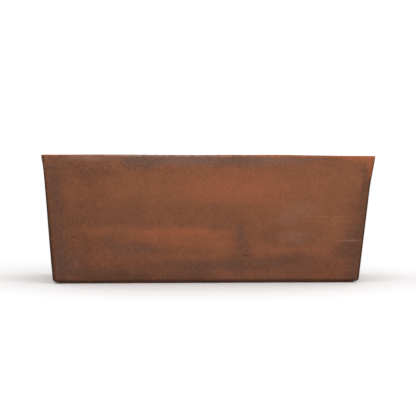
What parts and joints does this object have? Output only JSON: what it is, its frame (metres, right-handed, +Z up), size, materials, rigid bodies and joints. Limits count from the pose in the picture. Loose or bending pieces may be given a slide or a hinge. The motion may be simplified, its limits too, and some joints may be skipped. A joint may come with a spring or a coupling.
{
  "type": "planter box",
  "caption": "Long rectangular planter of folded weathering steel: sloping walls, flat returned rim, drained base plate, low runners and a bolted inner tie bar.",
  "frame": {"origin": "on the ground, under the middle of the planter", "axes": "+Z up, X along the length, the front long wall faces -Y"},
  "size_m": [1.1992, 0.4992, 0.465],
  "materials": {
    "weathering_steel": "matte",
    "inner_steel": "matte",
    "runner_steel": "matte",
    "weld": "matte",
    "weathered_stud": "matte",
    "zinc_fixings": "satin"
  },
  "bodies": {
    "root": {"front_panel": "weathering_steel", "back_panel": "weathering_steel", "left_end_panel": "weathering_steel", "right_end_panel": "weathering_steel", "front_left_corner_weld": "weld", "front_right_corner_weld": "weld", "back_left_corner_weld": "weld", "back_right_corner_weld": "weld", "base_plate": "inner_steel", "base_studs": "weathered_stud", "base_washers": "zinc_fixings", "base_nuts": "zinc_fixings", "front_left_runner": "runner_steel", "front_right_runner": "runner_steel", "back_left_runner": "runner_steel", "back_right_runner": "runner_steel", "runner_welds": "weld", "tie_bar": "inner_steel", "front_cleat": "inner_steel", "back_cleat": "inner_steel", "tie_bolts": "zinc_fixings", "tie_washers": "zinc_fixings", "tie_nuts": "zinc_fixings", "front_left_gusset": "inner_steel", "front_right_gusset": "inner_steel", "back_left_gusset": "inner_steel", "back_right_gusset": "inner_steel"}
  },
  "joints": []
}
